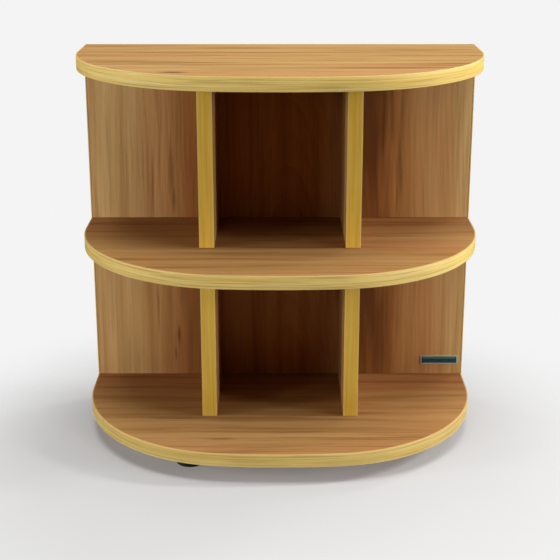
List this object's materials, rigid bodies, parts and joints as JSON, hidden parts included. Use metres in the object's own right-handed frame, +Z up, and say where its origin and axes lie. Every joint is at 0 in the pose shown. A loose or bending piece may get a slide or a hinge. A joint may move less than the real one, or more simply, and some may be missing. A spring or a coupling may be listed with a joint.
{
  "type": "rotating display rack",
  "caption": "Half-round, two-tier display rack of edge-banded boards with upright dividers, turning on a low ball-bearing turntable base.",
  "frame": {"origin": "on the floor, on the swivel axis, which is the centre of the rack's plan", "axes": "+Z up along the swivel axis; the open front of the rack faces -Y; +X is to the right when looking at the front"},
  "size_m": [0.534, 0.278, 0.5245],
  "materials": {
    "wood_veneer": "satin brown veneer with straight grain",
    "edge_band": "satin ochre with fine streaks along its length",
    "beech_dowel": "bare",
    "label_plate": "dark teal with a pale border",
    "black_paint": "satin black paint",
    "zinc_steel": "zinc plated",
    "bright_steel": "polished",
    "zinc_screw": "zinc plated",
    "black_rubber": "matt"
  },
  "bodies": {
    "base": {"base_board": "black_paint", "bearing_lower_plate": "zinc_steel", "foot_front_left": "black_rubber", "foot_front_right": "black_rubber", "foot_rear_left": "black_rubber", "foot_rear_right": "black_rubber", "foot_screw_front_left": "zinc_screw", "foot_screw_front_right": "zinc_screw", "foot_screw_rear_left": "zinc_screw", "foot_screw_rear_right": "zinc_screw", "lower_plate_screw_front_left": "zinc_screw", "lower_plate_screw_front_right": "zinc_screw", "lower_plate_screw_rear_left": "zinc_screw", "lower_plate_screw_rear_right": "zinc_screw"},
    "ball_ring": {"bearing_ball_ring": "bright_steel"},
    "rack": {"bearing_upper_plate": "zinc_steel", "bottom_board": "wood_veneer", "bottom_board_edge_band": "edge_band", "bottom_board_rear_band": "edge_band", "bottom_left_divider_dowel": "beech_dowel", "bottom_left_panel_dowel": "beech_dowel", "bottom_right_divider_dowel": "beech_dowel", "bottom_right_panel_dowel": "beech_dowel", "label_plate": "label_plate", "lower_back_panel": "wood_veneer", "lower_back_panel_left_band": "edge_band", "lower_back_panel_right_band": "edge_band", "lower_left_divider": "wood_veneer", "lower_left_divider_front_band": "edge_band", "lower_right_divider": "wood_veneer", "lower_right_divider_front_band": "edge_band", "middle_board": "wood_veneer", "middle_board_edge_band": "edge_band", "middle_board_rear_band": "edge_band", "middle_left_divider_dowel": "beech_dowel", "middle_left_panel_dowel": "beech_dowel", "middle_right_divider_dowel": "beech_dowel", "middle_right_panel_dowel": "beech_dowel", "top_board": "wood_veneer", "top_board_edge_band": "edge_band", "top_board_rear_band": "edge_band", "top_left_divider_dowel": "beech_dowel", "top_left_panel_dowel": "beech_dowel", "top_right_divider_dowel": "beech_dowel", "top_right_panel_dowel": "beech_dowel", "upper_back_panel": "wood_veneer", "upper_back_panel_left_band": "edge_band", "upper_back_panel_right_band": "edge_band", "upper_left_divider": "wood_veneer", "upper_left_divider_front_band": "edge_band", "upper_plate_screw_front_left": "zinc_screw", "upper_plate_screw_front_right": "zinc_screw", "upper_plate_screw_rear_left": "zinc_screw", "upper_plate_screw_rear_right": "zinc_screw", "upper_right_divider": "wood_veneer", "upper_right_divider_front_band": "edge_band"}
  },
  "joints": [
    {"name": "rack_spin", "type": "hinge", "parent": "base", "child": "rack", "pos_m": [0, 0, 0.02065], "axis": [0, 0, 1], "continuous": true},
    {"name": "ball_ring_spin", "type": "hinge", "parent": "base", "child": "ball_ring", "pos_m": [0, 0, 0.02065], "axis": [0, 0, 1], "continuous": true}
  ],
  "couplings": [
    {"joint": "ball_ring_spin", "follows": "rack_spin", "ratio": 0.5}
  ]
}
